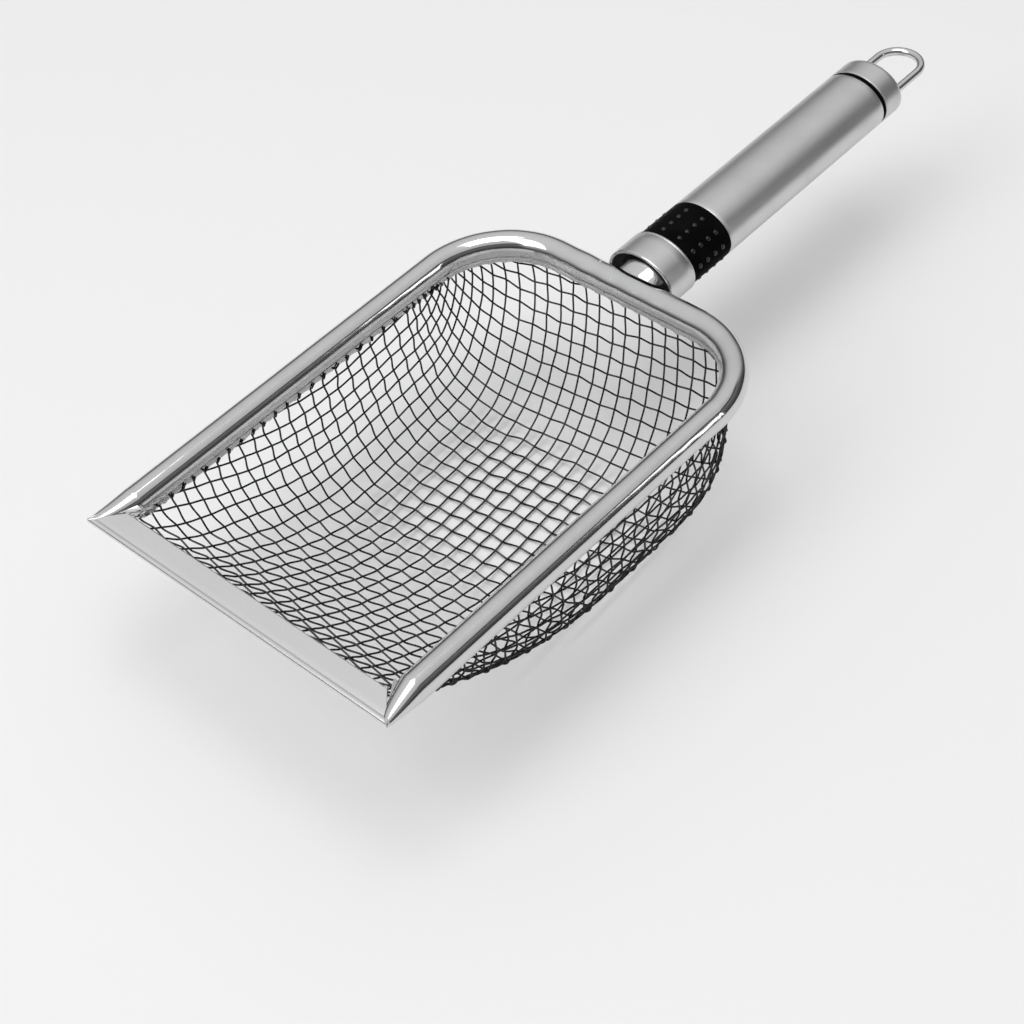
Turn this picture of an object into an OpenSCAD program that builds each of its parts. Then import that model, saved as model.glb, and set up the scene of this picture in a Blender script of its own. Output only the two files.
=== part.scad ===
// Hand scoop for sifting sand: a wire basket in a rolled steel rim with a flat front lip,
// and an oval handle in line with the rim, ending in a hanging loop.
// Millimetres. +Y runs from the lip to the handle, +Z is up, X is across.
// The origin is the middle of the outline, at the level of the basket's lowest point.

/* [Head] */
// Outside width across the two side rims
head_w = 130; // [100:1:170]
// Outside length from the lip's front edge to the back of the rim
head_l = 186; // [150:1:230]
// Outside corner radius of the rim at the handle end
corner_r = 35.5; // [25:0.5:48]
// Outside diameter of the rolled rim
rim_d = 9.6; // [7:0.1:13]
// Sheet thickness of the rolled rim
rim_wall = 0.8; // [0.5:0.1:1.2]
// Width of the seam under the rim that grips the edge of the cloth
seam_w = 2.0; // [1.7:0.1:2.6]
// How far the seam sits inward of the rim's own centre line
seam_in = 2.4; // [1.8:0.1:2.8]

/* [Lip] */
// Width of the flat lip from front to back
lip_w = 9.8; // [7:0.1:16]
// Thickness of the folded lip
lip_t = 1.6; // [1.2:0.1:2.4]
// Height of the lip's top face above the rim's centre
lip_rise = 2.3; // [1:0.1:3.5]
// Diameter of the rolled hem along the lip's front edge
hem_d = 2.2; // [1.6:0.1:3]
// Length of rim that is pinched flat towards each front corner
pinch_l = 15; // [11:0.5:24]

/* [Basket] */
// Depth of the basket below the rim's centre
basket_depth = 58; // [40:1:75]
// Distance from the lip's front edge to the start of the flat floor
deep_at = 104; // [85:1:115]
// Length of the flat floor at the bottom of the basket
flat_l = 30; // [20:1:38]
// Thickness of the wire cloth, two wires where they cross
cloth_t = 1.4; // [1.2:0.1:2]

/* [Neck] */
// Gap between the back of the rim and the front of the ferrule
neck_gap = 1.6; // [1:0.1:6]
// Width of the arched neck plate
neck_w = 20; // [14:0.5:24]
// Rise of the arched neck plate at its middle
neck_arch = 7.5; // [4:0.1:8.5]
// Thickness of the neck plate
neck_t = 1.5; // [1:0.1:2.5]
// Length of neck plate held inside the ferrule
neck_grip = 11; // [6:0.5:12]

/* [Handle] */
// Height of the handle's centre line below the rim's centre
handle_drop = 1.5; // [0:0.1:5]
// Width of the steel handle tube
tube_w = 26.2; // [20:0.2:34]
// Height of the steel handle tube
tube_h = 20.8; // [16:0.2:28]
// Length of the steel handle tube
tube_l = 88; // [60:1:130]
// Wall of the handle tube and the ferrule
tube_wall = 0.9; // [0.6:0.1:1.4]
// How far the ferrule stands proud of the tube all round
ferrule_step = 0.7; // [0.3:0.1:1.5]
// Length of the ferrule
ferrule_l = 12.4; // [9:0.1:20]
// Length of the rubber grip ring
grip_l = 20; // [14:0.5:40]
// Height of the small bumps on the grip ring
bump_h = 0.5; // [0.3:0.1:0.8]
// Diameter of the small bumps on the grip ring
bump_d = 1.8; // [1.2:0.1:2.4]
// Thickness of the black gasket between the tube and the end cap
gasket_t = 1.2; // [0.8:0.1:2]
// How far the gasket sits in from the tube's surface
gasket_inset = 0.6; // [0.3:0.1:1]
// Length of the end cap
cap_l = 10.8; // [8:0.1:18]
// Wall of the end cap
cap_wall = 1.5; // [1.3:0.1:2]
// Radius of the end cap's rounded shoulder
cap_round = 2.6; // [1:0.1:4]
// Radial clearance between the inner plugs and what they carry
plug_gap = 0.1; // [0.05:0.05:0.3]

/* [Hanging loop] */
// Wire diameter of the hanging loop
loop_d = 3.1; // [2.4:0.1:4]
// Outside width of the hanging loop
loop_w = 20; // [15:0.5:22]
// How far the loop stands out behind the end cap
loop_out = 24.4; // [16:0.2:34]
// Depth of the loop's legs inside the handle
loop_grip = 16; // [8:1:24]

/* [Hidden] */
$fn = 96;

steel = [0.76, 0.77, 0.78];
polish = [0.86, 0.87, 0.88];
black = [0.06, 0.06, 0.06];
grey = [0.35, 0.36, 0.38];

rim_r = rim_d / 2;
side_x = head_w / 2 - rim_r;
bend_r = corner_r - rim_r;
back_y = head_l - rim_r;
bend_x = head_w / 2 - corner_r;
bend_y = head_l - corner_r;

// stations along the handle
ferrule_y = head_l + neck_gap;
grip_y = ferrule_y + ferrule_l;
tube_y = grip_y + grip_l;
gasket_y = tube_y + tube_l;
cap_y = gasket_y + gasket_t;
cap_end = cap_y + cap_l;
overall = cap_end + loop_out;
ferrule_w = tube_w + 2 * ferrule_step;
ferrule_h = tube_h + 2 * ferrule_step;

// radius of the rim's pinched corner, and radii of the weld beads
pinch_tip = 1.1;
lip_weld_r = 1.3;
neck_weld_r = 1.6;

// how far the inner plugs reach into the tube, and how much thinner they are inside a soft ring
plug_reach = 12;
plug_thin = 4;

// cloth outline: it follows the seam under the rim
cloth_x = side_x - seam_in;
cloth_back = back_y - seam_in;
cloth_bend = bend_r - seam_in;
lip_overlap = 2.4;
cloth_front = lip_w - lip_overlap;
cloth_top = -2;
front_top = lip_rise - lip_t - 0.1;
front_dip = 1.5;
flat_end = deep_at + flat_l;
front_blend = 22;
// how the cloth falls from the lip, rises to the back rim, and squares off at wall and floor
front_bend = 1.9;
back_bend = 2.6;
wall_power = 0.36;
floor_power = 0.5;

// turns a head or handle point into the object's own place
module place() {
  translate([0, -overall / 2, basket_depth]) children();
}

// oval bar along +Y on the handle's centre line, from y0 on
module oval(w, h, y0, l) {
  translate([0, y0 + l, -handle_drop])
    rotate([90, 0, 0])
      linear_extrude(l)
        scale([1, h / w])
          circle(d = w);
}

// oval bar whose far end is rounded over in fine steps
module rounded_oval(w, h, y0, l, r) {
  steps = 6;
  union()
    for (i = [0:steps - 1]) {
      a = 90 * (i + 0.5) / steps;
      inset = 2 * r * (1 - cos(a));
      oval(w - inset, h - inset, y0, l - r + r * sin(a) + (i == steps - 1 ? r * (1 - sin(a)) : 0));
    }
}

// section of the rolled rim: a tube with a seam below, inward side at -X
module rim_section() {
  difference() {
    circle(r = rim_r);
    circle(r = rim_r - rim_wall);
    translate([-seam_in - seam_w / 2, -rim_r - 1])
      square([seam_w, rim_r]);
  }
}

module rim_side(side) {
  translate([side * side_x, bend_y, 0])
    rotate([90, 0, 0])
      scale([side, 1, 1])
        linear_extrude(bend_y - pinch_l)
          rim_section();
}

module rim_corner(side) {
  translate([side * bend_x, bend_y, 0])
    rotate([0, 0, side > 0 ? 0 : 90])
      rotate_extrude(angle = 90)
        translate([bend_r, 0])
          rim_section();
}

module rim_bead() {
  color(polish)
    place()
      union() {
        rim_side(1);
        rim_side(-1);
        rim_corner(1);
        rim_corner(-1);
        translate([-bend_x, back_y, 0])
          rotate([90, 0, 90])
            linear_extrude(2 * bend_x)
              rim_section();
      }
}

// rim end pinched from a round tube down to the lip's sharp corner
module pinch(side) {
  color(polish)
    place()
      hull() {
        translate([side * side_x, pinch_l, 0])
          rotate([90, 0, 0])
            cylinder(r = rim_r, h = 0.4, $fn = 32);
        translate([side * (head_w / 2 - pinch_tip), pinch_tip, lip_rise - lip_t])
          cylinder(r = pinch_tip, h = lip_t + 0.2, $fn = 20);
      }
}

module pinch_left() pinch(-1);
module pinch_right() pinch(1);

module front_lip() {
  half = head_w / 2;
  color(steel)
    place()
      union() {
        translate([0, 0, lip_rise - lip_t])
          linear_extrude(lip_t)
            polygon([[hem_d / 2 - half, hem_d / 2],
                     [half - hem_d / 2, hem_d / 2],
                     [half - lip_w, lip_w],
                     [lip_w - half, lip_w]]);
        translate([hem_d - half, hem_d / 2, lip_rise - hem_d / 2])
          rotate([0, 90, 0])
            cylinder(d = hem_d, h = head_w - 2 * hem_d);
      }
}

// half width of the cloth's outline at a distance y from the lip's front edge
function cloth_half(y, grow) =
  y < bend_y ? cloth_x + grow
  : cloth_x - cloth_bend + sqrt(max(0, pow(cloth_bend + grow, 2) - pow(y - bend_y, 2)));

// depth of the cloth on its centre line, below its own top edge
function cloth_deep(y, full) =
  y < deep_at
  ? front_dip + (full - front_dip) * (1 - pow(1 - (y - cloth_front) / (deep_at - cloth_front), front_bend))
  : y < flat_end
  ? full
  : full * pow(max(0, 1 - pow((y - flat_end) / (cloth_back - flat_end), back_bend)), 1 / 1.6);

function cloth_edge(y) =
  cloth_top + (front_top + front_dip - cloth_top) * pow(max(0, 1 - (y - cloth_front) / front_blend), 2);

// one point of the cloth: station y, and angle a from the left edge (0) to the right edge (180)
function cloth_point(y, a, grow) =
  let (
    half = cloth_half(y, grow),
    deep = cloth_deep(y, basket_depth + cloth_top - cloth_t / 2) + grow
  )
  [-half * sign(cos(a)) * pow(abs(cos(a)), wall_power), y, cloth_edge(y) - deep * pow(sin(a), floor_power)];

module mesh_basket() {
  across = 32;
  last = cloth_back - 0.35;
  // stations down the front slope, along the flat floor, and up the back wall, where they crowd
  fall = [for (j = [0:9]) cloth_front + (deep_at - cloth_front) * j / 10];
  flat = [for (j = [0:3]) deep_at + flat_l * j / 4];
  rise = [for (j = [0:10]) flat_end + (last - flat_end) * sin(9 * j)];
  stations = concat(fall, flat, rise);
  rows = len(stations) - 1;
  outer = [for (y = stations) for (i = [0:across]) cloth_point(y, 180 * i / across, cloth_t / 2)];
  inner = [for (y = stations) for (i = [0:across]) cloth_point(y, 180 * i / across, -cloth_t / 2)];
  n = across + 1;
  m = len(outer);
  skins = [for (j = [0:rows - 1]) for (i = [0:across - 1]) each [
    [j * n + i, (j + 1) * n + i, (j + 1) * n + i + 1],
    [j * n + i, (j + 1) * n + i + 1, j * n + i + 1],
    [m + j * n + i, m + (j + 1) * n + i + 1, m + (j + 1) * n + i],
    [m + j * n + i, m + j * n + i + 1, m + (j + 1) * n + i + 1]]];
  tops = [for (j = [0:rows - 1]) each [
    [j * n, m + j * n, m + (j + 1) * n],
    [j * n, m + (j + 1) * n, (j + 1) * n],
    [j * n + across, m + (j + 1) * n + across, m + j * n + across],
    [j * n + across, (j + 1) * n + across, m + (j + 1) * n + across]]];
  ends = [for (i = [0:across - 1]) each [
    [i, m + i + 1, m + i],
    [i, i + 1, m + i + 1],
    [rows * n + i, m + rows * n + i, m + rows * n + i + 1],
    [rows * n + i, m + rows * n + i + 1, rows * n + i + 1]]];
  color(steel)
    place()
      polyhedron(points = concat(outer, inner), faces = concat(skins, tops, ends), convexity = 6);
}

module weld_lip(side) {
  color(polish)
    place()
      translate([side * (head_w / 2 - lip_w - 0.6), lip_w + 0.4, lip_rise - 0.7])
        sphere(r = lip_weld_r);
}

module weld_lip_left() weld_lip(-1);
module weld_lip_right() weld_lip(1);

// arched strap from the back of the rim into the ferrule
module neck_plate() {
  arch_r = (pow(neck_w / 2, 2) + pow(neck_arch, 2)) / (2 * neck_arch);
  foot = ferrule_y + neck_grip - back_y;
  color(polish)
    place()
      difference() {
        translate([0, back_y, -handle_drop - 1])
          rotate([-90, 0, 0])
            linear_extrude(foot)
              intersection() {
                translate([0, arch_r - neck_arch])
                  difference() {
                    circle(r = arch_r, $fn = 96);
                    circle(r = arch_r - neck_t, $fn = 96);
                  }
                translate([-neck_w / 2, -neck_arch - 1])
                  square([neck_w, neck_arch + 1 + neck_t]);
              }
        translate([-neck_w, back_y, 0])
          rotate([0, 90, 0])
            cylinder(r = rim_r - rim_wall / 2, h = 2 * neck_w);
      }
}

module weld_neck(side) {
  color(polish)
    place()
      translate([side * (neck_w / 2 - 0.5), head_l - 0.3, -handle_drop - 1])
        sphere(r = neck_weld_r);
}

module weld_neck_left() weld_neck(-1);
module weld_neck_right() weld_neck(1);

module ferrule() {
  color(steel)
    place()
      difference() {
        oval(ferrule_w, ferrule_h, ferrule_y, ferrule_l);
        oval(ferrule_w - 2 * tube_wall, ferrule_h - 2 * tube_wall, ferrule_y - 1, ferrule_l + 2);
      }
}

// stepped insert that carries the ferrule, the grip ring and the front of the tube
module front_plug() {
  inside_w = ferrule_w - 2 * tube_wall - 2 * plug_gap;
  inside_h = ferrule_h - 2 * tube_wall - 2 * plug_gap;
  core_w = tube_w - 2 * tube_wall - 2 * plug_gap;
  core_h = tube_h - 2 * tube_wall - 2 * plug_gap;
  start = ferrule_y + neck_grip + plug_gap;
  color(grey)
    place()
      union() {
        oval(inside_w, inside_h, start, grip_y - start);
        oval(core_w - plug_thin, core_h - plug_thin, grip_y, tube_y - grip_y);
        oval(core_w, core_h, tube_y, plug_reach);
      }
}

module grip_ring() {
  color(black)
    place()
      difference() {
        oval(tube_w, tube_h, grip_y, grip_l);
        oval(tube_w - 2 * tube_wall - plug_thin, tube_h - 2 * tube_wall - plug_thin,
             grip_y - 1, grip_l + 2);
      }
}

// bumps in straight rows along the grip ring, the rows spread evenly round it
module grip_bumps() {
  rows = 12;
  per_row = 4;
  first_angle = 10;
  towards_ferrule = 0.4;
  pitch = grip_l / (per_row + 1);
  color(black)
    place()
      for (k = [0:rows - 1])
        for (j = [1:per_row]) {
          a = first_angle + 360 * k / rows;
          translate([(tube_w / 2 + bump_h - bump_d / 2) * cos(a),
                     grip_y + pitch * j - towards_ferrule,
                     (tube_h / 2 + bump_h - bump_d / 2) * sin(a) - handle_drop])
            sphere(d = bump_d, $fn = 16);
        }
}

module handle_tube() {
  color(steel)
    place()
      difference() {
        oval(tube_w, tube_h, tube_y, tube_l);
        oval(tube_w - 2 * tube_wall, tube_h - 2 * tube_wall, tube_y - 1, tube_l + 2);
      }
}

module gasket() {
  spigot_w = tube_w - 2 * tube_wall - 2 * plug_gap;
  spigot_h = tube_h - 2 * tube_wall - 2 * plug_gap;
  color(black)
    place()
      difference() {
        oval(tube_w - 2 * gasket_inset, tube_h - 2 * gasket_inset, gasket_y, gasket_t);
        oval(spigot_w - plug_thin, spigot_h - plug_thin, gasket_y - 1, gasket_t + 2);
      }
}

module end_cap() {
  color(steel)
    place()
      difference() {
        union() {
          oval(tube_w, tube_h, cap_y, cap_l - cap_round);
          rounded_oval(tube_w, tube_h, cap_y, cap_l, cap_round);
        }
        oval(tube_w - 2 * cap_wall, tube_h - 2 * cap_wall, cap_y - 1, cap_l + 1 - cap_wall);
        loop_legs(loop_d + 2 * plug_gap);
      }
}

// insert that carries the gasket and the end cap and holds the loop's legs
module rear_plug() {
  core_w = tube_w - 2 * tube_wall - 2 * plug_gap;
  core_h = tube_h - 2 * tube_wall - 2 * plug_gap;
  cap_gap = 2 * cap_wall + 2 * plug_gap;
  color(grey)
    place()
      difference() {
        union() {
          oval(core_w, core_h, gasket_y - plug_reach, plug_reach);
          oval(core_w - plug_thin - 2 * plug_gap, core_h - plug_thin - 2 * plug_gap,
               gasket_y - 1, gasket_t + 2);
          oval(tube_w - cap_gap, tube_h - cap_gap, cap_y, cap_l - cap_wall - plug_gap);
        }
        loop_legs(loop_d + 2 * plug_gap);
      }
}

// the two straight legs of the loop, of a chosen diameter
module loop_legs(d) {
  leg = loop_w / 2 - loop_d / 2;
  arc_y = overall - loop_w / 2;
  start = cap_end - loop_grip;
  for (side = [-1, 1])
    translate([side * leg, start, -handle_drop])
      rotate([-90, 0, 0])
        cylinder(d = d, h = arc_y - start);
}

module hanging_loop() {
  color(polish)
    place()
      union() {
        loop_legs(loop_d);
        translate([0, overall - loop_w / 2, -handle_drop])
          rotate_extrude(angle = 180)
            translate([loop_w / 2 - loop_d / 2, 0])
              circle(d = loop_d);
      }
}

rim_bead();
pinch_left();
pinch_right();
front_lip();
mesh_basket();
weld_lip_left();
weld_lip_right();
neck_plate();
weld_neck_left();
weld_neck_right();
ferrule();
front_plug();
grip_ring();
grip_bumps();
handle_tube();
gasket();
end_cap();
rear_plug();
hanging_loop();
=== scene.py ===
import math

import bmesh
import bpy
import numpy as np
from mathutils import Matrix, Vector


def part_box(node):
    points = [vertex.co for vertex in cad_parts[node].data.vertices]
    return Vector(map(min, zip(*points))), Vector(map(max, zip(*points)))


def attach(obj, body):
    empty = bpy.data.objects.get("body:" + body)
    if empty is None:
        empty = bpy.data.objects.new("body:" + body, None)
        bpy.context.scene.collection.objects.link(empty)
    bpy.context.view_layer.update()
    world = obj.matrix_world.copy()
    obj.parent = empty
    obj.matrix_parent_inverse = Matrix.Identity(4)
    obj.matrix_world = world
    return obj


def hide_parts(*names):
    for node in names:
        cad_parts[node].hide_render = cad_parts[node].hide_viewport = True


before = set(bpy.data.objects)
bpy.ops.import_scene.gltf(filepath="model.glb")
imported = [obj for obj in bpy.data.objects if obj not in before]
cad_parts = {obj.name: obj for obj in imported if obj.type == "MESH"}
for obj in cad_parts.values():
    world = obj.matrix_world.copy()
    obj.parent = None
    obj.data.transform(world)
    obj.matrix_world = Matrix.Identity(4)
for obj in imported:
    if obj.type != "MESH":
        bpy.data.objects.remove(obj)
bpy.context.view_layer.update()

bl_info = {
    "name": "Sand Scoop Builder",
    "version": (1, 0, 0),
    "blender": (4, 5, 0),
    "location": "3D View > Sidebar > Sand Scoop",
    "description": "Builds a woven-wire sand scoop with an oval handle, piece by piece",
    "category": "Object",
}

MM = 0.001
BODY = "root"
MERGE = 1e-7  # points nearer than this are joined

# head place: x across, y back from the lip's front edge, z up from the rim's centre plane, in millimetres
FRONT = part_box("front_lip")[0].y
RIM_LOW, RIM_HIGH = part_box("rim_bead")
LEVEL = (RIM_LOW.z + RIM_HIGH.z) / 2


def from_front(node, end):
    """Distance in mm from the lip's front edge to a node's near (0) or far (1) end."""
    return (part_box(node)[end].y - FRONT) / MM


def size_mm(node, axis):
    """A node's whole size in mm along one axis."""
    low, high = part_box(node)
    return (high[axis] - low[axis]) / MM


RIM_R = (RIM_HIGH.z - RIM_LOW.z) / 2 / MM
HALF_W = RIM_HIGH.x / MM
HEAD_L = from_front("rim_bead", 1)
LIP_W = from_front("front_lip", 1)
LIP_TOP = (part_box("front_lip")[1].z - LEVEL) / MM
HEM_D = size_mm("front_lip", 2)
PINCH_L = from_front("rim_bead", 0)
CORNER_R = 35.5  # outer radius of the rim's two back corners
FERRULE_Y = from_front("ferrule", 0)
GRIP_Y = from_front("grip_ring", 0)
TUBE_Y = from_front("handle_tube", 0)
SEAM = 0.3  # how far the gasket shows over the tube's end and over the cap's start
TUBE_END = from_front("handle_tube", 1) - SEAM
CAP_Y = from_front("end_cap", 0) + SEAM
CAP_END = from_front("end_cap", 1)
LOOP_END = from_front("hanging_loop", 1)
LOOP_W = size_mm("hanging_loop", 0)
LOOP_D = size_mm("hanging_loop", 2)
TUBE_W = size_mm("handle_tube", 0)
TUBE_H = size_mm("handle_tube", 2)
DROP = -((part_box("handle_tube")[0].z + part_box("handle_tube")[1].z) / 2 - LEVEL) / MM
FERRULE_STEP = (size_mm("ferrule", 0) - TUBE_W) / 2
DEPTH = (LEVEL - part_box("mesh_basket")[0].z) / MM

WIRE_SIDES = 7
CELL_STEPS = 7
LOOP_SIDES = 32

SIDE_X = HALF_W - RIM_R
BACK_Y = HEAD_L - RIM_R
BEND_R = CORNER_R - RIM_R
BEND_X = HALF_W - CORNER_R
BEND_Y = HEAD_L - CORNER_R


def to_row(points):
    """Head millimetres to metres in the row frame."""
    return np.asarray(points, float) * MM + np.array([0.0, FRONT, LEVEL])


# ---------------------------------------------------------------- meshes

def plain_mesh(name, points, faces, sharp=32.0):
    """A finished object at the origin from head-millimetre points, with outward normals."""
    mesh = bpy.data.meshes.new(name)
    mesh.from_pydata([tuple(p) for p in to_row(points)], [], faces)
    mesh.validate()
    bm = bmesh.new()
    bm.from_mesh(mesh)
    bmesh.ops.remove_doubles(bm, verts=bm.verts, dist=MERGE)
    bmesh.ops.recalc_face_normals(bm, faces=bm.faces)
    bm.to_mesh(mesh)
    bm.free()
    mesh.shade_smooth()
    mesh.set_sharp_from_angle(angle=math.radians(sharp))
    mesh.update()
    piece = bpy.data.objects.new(name, mesh)
    bpy.context.scene.collection.objects.link(piece)
    return piece


def grid_faces(rows, columns, wrap_rows):
    """Four-sided faces over rows of closed rings, the last row joined to the first if asked."""
    faces = []
    for r in range(rows if wrap_rows else rows - 1):
        for c in range(columns):
            n, d = (r + 1) % rows, (c + 1) % columns
            faces.append((r * columns + c, r * columns + d, n * columns + d, n * columns + c))
    return faces


def loft(name, rings, closed=False, sharp=32.0):
    """Skins a row of rings of equal length. An open row gets a fan at each end."""
    rings = np.asarray(rings, float)
    rows, columns = rings.shape[:2]
    points = rings.reshape(-1, 3)
    faces = grid_faces(rows, columns, wrap_rows=closed)
    if not closed:
        first, last = len(points), len(points) + 1
        points = np.vstack([points, rings[0].mean(0), rings[-1].mean(0)])
        base = (rows - 1) * columns
        for c in range(columns):
            d = (c + 1) % columns
            faces.append((first, d, c))
            faces.append((last, base + c, base + d))
    return plain_mesh(name, points, faces, sharp=sharp)


def oval_ring(y, inset, count=128):
    """One ring of the oval handle at station y, inset from the tube's own surface."""
    a = np.linspace(0, 2 * math.pi, count, endpoint=False)
    x = (TUBE_W / 2 - inset) * np.cos(a)
    z = (TUBE_H / 2 - inset) * np.sin(a) - DROP
    return np.stack([x, np.full_like(a, y), z], 1)


def oval_shell(name, profile, sharp=32.0):
    """Closed wall of revolution-like oval: profile is a closed list of (y, inset)."""
    return loft(name, [oval_ring(y, inset) for y, inset in profile], closed=True, sharp=sharp)


def arc(cy, ci, radius, start, end, count=7):
    """Profile points on an arc: centre (y, inset), angles in degrees, 0 towards +y, 90 towards outside."""
    t = np.radians(np.linspace(start, end, count))
    return [(cy + radius * math.cos(k), ci - radius * math.sin(k)) for k in t]


def dress(piece, material):
    """Gives a piece its material and its body."""
    piece.data.materials.clear()
    piece.data.materials.append(material)
    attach(piece, BODY)


def bake(piece):
    """Turns a piece's Geometry Nodes result into its own plain mesh."""
    graph = bpy.context.evaluated_depsgraph_get()
    mesh = bpy.data.meshes.new_from_object(piece.evaluated_get(graph))
    piece.modifiers.clear()
    old = piece.data
    piece.data = mesh
    bpy.data.meshes.remove(old)
    mesh.shade_smooth()


# ---------------------------------------------------------------- basket surface

class Basket:
    """The wire cloth's middle surface, and the woven net laid over it."""

    seam_in = 2.4
    top = -2.0
    front_y = LIP_W - 2.4
    front_top = 0.6
    front_dip = 1.5
    front_blend = 22.0
    deep_at = 104.0
    flat_l = 30.0
    front_bend = 1.9
    back_bend = 2.6
    wall_power = 0.36
    floor_power = 0.5
    corner_reach = 172.0
    samples = 240
    turn_back = 0.085
    turn_front = 0.165
    turn_over = 95.0
    inside = np.array([0, 105.0, 40.0])

    def __init__(self):
        self.half_w = SIDE_X - self.seam_in
        self.back = BACK_Y - self.seam_in
        self.bend = BEND_R - self.seam_in
        self.flat_end = self.deep_at + self.flat_l
        self.full = DEPTH + self.top - 0.7
        self.lay_sections()

    def half(self, y):
        round_off = np.sqrt(np.clip(self.bend ** 2 - (y - BEND_Y) ** 2, 0, None))
        return np.where(y < BEND_Y, self.half_w, self.half_w - self.bend + round_off)

    def deep(self, y):
        k = np.clip(1 - (y - self.front_y) / (self.deep_at - self.front_y), 0, None)
        fall = self.front_dip + (self.full - self.front_dip) * (1 - k ** self.front_bend)
        k = np.clip((y - self.flat_end) / (self.back - self.flat_end), 0, 1)
        rise = self.full * (1 - k ** self.back_bend) ** (1 / 1.6)
        return np.where(y < self.deep_at, fall, np.where(y < self.flat_end, self.full, rise))

    def edge(self, y):
        k = np.clip(1 - (y - self.front_y) / self.front_blend, 0, None)
        return self.top + (self.front_top + self.front_dip - self.top) * k ** 2

    def half_at(self, y, z):
        """Half width of the surface at height z in the section y."""
        q = np.clip((self.edge(y) - z) / np.maximum(self.deep(y), 1e-3), 0, 1)
        return self.half(y) * np.clip(1 - q ** (2 / self.floor_power), 0, None) ** (self.wall_power / 2)

    def lay_sections(self):
        """Sections from the lip to the back rim, with points evenly spaced from the middle out."""
        rise = np.sin(np.linspace(0, math.pi / 2, 900))[1:]
        ys = np.concatenate([np.linspace(self.front_y, self.flat_end, 800),
                             self.flat_end + (self.back - self.flat_end) * rise])
        zs = self.edge(ys) - self.deep(ys)
        run = np.concatenate([[0], np.cumsum(np.hypot(np.diff(ys), np.diff(zs)))])
        self.length = run[-1] - 0.05
        bottom_end = np.interp(self.flat_end, ys, run)
        self.rows = np.linspace(0, self.length, 420)
        self.table = np.zeros((len(self.rows), self.samples, 3))
        self.reach = np.zeros(len(self.rows))
        t = np.linspace(0, 1, 320) ** 5
        for q, v in enumerate(self.rows):
            cy, cz = np.interp(v, run, ys), np.interp(v, run, zs)
            ry = cy
            if v > bottom_end:
                share = (v - bottom_end) / (run[-1] - bottom_end)
                ry = self.flat_end + (self.corner_reach - self.flat_end) * share
            y = cy + t * (ry - cy)
            z = cz + t * (float(self.edge(np.array(ry))) - cz)
            x = self.half_at(y, z)
            x[0] = 0.0
            walk = np.sqrt(np.diff(x) ** 2 + np.diff(y) ** 2 + np.diff(z) ** 2)
            walk = np.concatenate([[0], np.cumsum(walk)])
            even = np.linspace(0, walk[-1], self.samples)
            self.reach[q] = walk[-1]
            self.table[q] = np.stack([np.interp(even, walk, c) for c in (x, y, z)], 1)

    def at(self, s, v):
        """Points at s along a section and v along the middle line, and which are on the cloth."""
        q = np.clip(v / self.length, 0, 1) * (len(self.rows) - 1)
        q0 = np.minimum(q.astype(int), len(self.rows) - 2)
        f = q - q0
        reach = self.reach[q0] * (1 - f) + self.reach[q0 + 1] * f
        r = np.abs(s) / reach * (self.samples - 1)
        on = (r <= self.samples - 1) & (v >= 0) & (v <= self.length)
        r = np.clip(r, 0, self.samples - 1.001)
        r0 = r.astype(int)
        g = (r - r0)[:, None]
        f = f[:, None]
        near = self.table[q0, r0] * (1 - f) + self.table[q0 + 1, r0] * f
        far = self.table[q0, r0 + 1] * (1 - f) + self.table[q0 + 1, r0 + 1] * f
        point = near * (1 - g) + far * g
        point[:, 0] *= np.where(s < 0, -1, 1)
        return point, on

    def from_cloth(self, a, b):
        """Cloth place (a across, b along) to surface place: the cloth sits turned, more so at the lip."""
        k = np.clip(1 - b / self.turn_over, 0, 1)
        v = b + a * (self.turn_back + self.turn_front * k ** 2)
        lean = 0.27
        bend = lean * self.turn_over / 3
        drift = self.turn_back * b - bend * (k ** 3 - 1) + np.where(b < 0, lean * b, 0)
        middle = self.turn_back * self.turn_over + bend
        return a - (drift - middle), v

    def wires(self, pitch, lengthwise, steps, lift, seed):
        """Middle lines of one family of wires, cut at the rim, with each point's crimp offset."""
        rng = np.random.default_rng(seed)
        lines = []
        for w in range(-36, 56):
            t = np.arange(-26 * steps, 54 * steps) / steps
            sway = sum(rng.normal(0, 0.13) * np.sin(2 * math.pi * t / rng.uniform(4, 13)
                                                    + rng.uniform(0, 6.28)) for _ in range(4))
            knots = rng.normal(0, 0.10, len(t) // steps + 2)
            sway = sway + np.interp(t, np.arange(len(knots)) - 26, knots)
            a, b = ((w * pitch + sway, t * pitch) if lengthwise else (t * pitch, w * pitch + sway))
            s, v = self.from_cloth(a, b)
            point, on = self.at(s, v)
            h = 0.8
            across = self.at(s + h, v)[0] - self.at(s - h, v)[0]
            along = self.at(s, np.minimum(v + h, self.length))[0] - self.at(s, np.maximum(v - h, 0))[0]
            normal = np.cross(across, along)
            normal /= np.maximum(np.linalg.norm(normal, axis=1, keepdims=True), 1e-9)
            inward = self.inside - point
            normal *= np.where((normal * inward).sum(1) < 0, -1, 1)[:, None]
            smooth = np.cos(math.pi * (t + w))
            bent = np.arcsin(smooth * 0.995) * 2 / math.pi
            wave = (0.35 * smooth + 0.65 * bent) * (1 if lengthwise else -1)
            offset = normal * (lift * wave)[:, None]
            start = None
            for k in range(len(t) + 1):
                live = k < len(t) and on[k]
                if live and start is None:
                    start = k
                if not live and start is not None:
                    if k - start > 3:
                        lines.append((point[start:k].tolist(), offset[start:k].tolist()))
                    start = None
        return lines


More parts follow.
